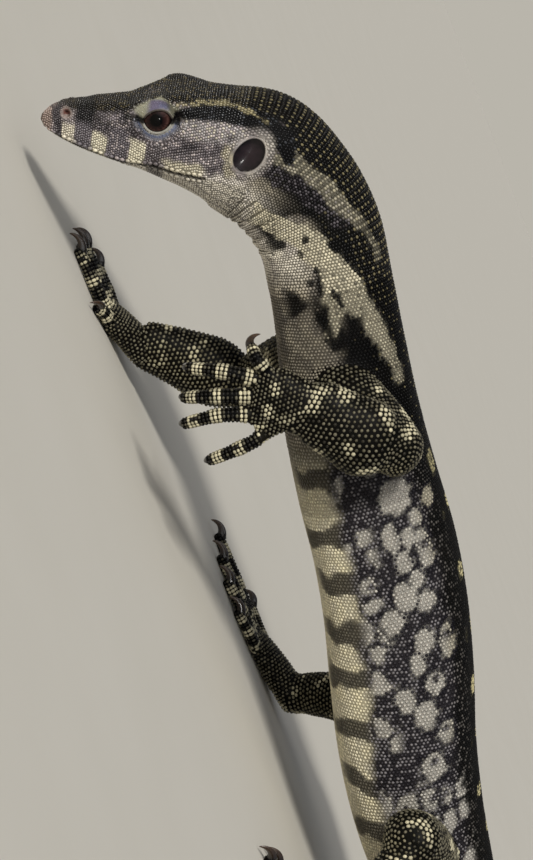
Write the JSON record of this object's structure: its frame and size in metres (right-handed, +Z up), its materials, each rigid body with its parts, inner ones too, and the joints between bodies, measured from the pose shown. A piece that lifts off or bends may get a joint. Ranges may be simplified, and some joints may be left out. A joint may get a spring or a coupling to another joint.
{
  "type": "water monitor lizard",
  "caption": "Young water monitor lizard at a walk, forequarters raised, head bent to the ground, left forefoot lifted with its toes spread, long tail laid in a loose S.",
  "frame": {"origin": "middle of the box round the model, on the floor", "axes": "+X from the snout towards the tail, -Y towards the lizard's left side, +Z up"},
  "size_m": [0.5746, 0.1438, 0.0665],
  "materials": {
    "head_skin": "fine smooth scales, dark olive brown with pale bars across the snout",
    "throat_skin": "fine scales, cream with dark flecks",
    "body_skin": "small domed scales, near black with pale yellow bands and spots",
    "tail_skin": "small keeled scales in rings, near black with pale yellow bands",
    "leg_skin": "bead-like scales, black with rows of pale yellow beads",
    "eardrum": "smooth thin skin, dark purple brown",
    "claw": "smooth dark horn, semi-gloss",
    "eye": "wet and glossy, dark reddish brown with a round black pupil"
  },
  "bodies": {
    "root": {"head": "head_skin", "lower_jaw": "throat_skin", "eye_left": "eye", "eardrum_left": "eardrum", "eye_right": "eye", "eardrum_right": "eardrum", "neck": "body_skin", "chest": "body_skin", "belly": "body_skin", "hips": "body_skin", "tail_base": "tail_skin", "tail_second": "tail_skin", "tail_third": "tail_skin", "tail_tip": "tail_skin", "fore_left_upper": "leg_skin", "fore_left_lower": "leg_skin", "fore_left_foot": "leg_skin", "fore_left_claw_one": "claw", "fore_left_claw_two": "claw", "fore_left_claw_three": "claw", "fore_left_claw_four": "claw", "fore_left_claw_five": "claw", "fore_right_upper": "leg_skin", "fore_right_lower": "leg_skin", "fore_right_foot": "leg_skin", "fore_right_claw_one": "claw", "fore_right_claw_two": "claw", "fore_right_claw_three": "claw", "fore_right_claw_four": "claw", "fore_right_claw_five": "claw", "hind_left_upper": "leg_skin", "hind_left_lower": "leg_skin", "hind_left_foot": "leg_skin", "hind_left_claw_one": "claw", "hind_left_claw_two": "claw", "hind_left_claw_three": "claw", "hind_left_claw_four": "claw", "hind_left_claw_five": "claw", "hind_right_upper": "leg_skin", "hind_right_lower": "leg_skin", "hind_right_foot": "leg_skin", "hind_right_claw_one": "claw", "hind_right_claw_two": "claw", "hind_right_claw_three": "claw", "hind_right_claw_four": "claw", "hind_right_claw_five": "claw"}
  },
  "joints": []
}
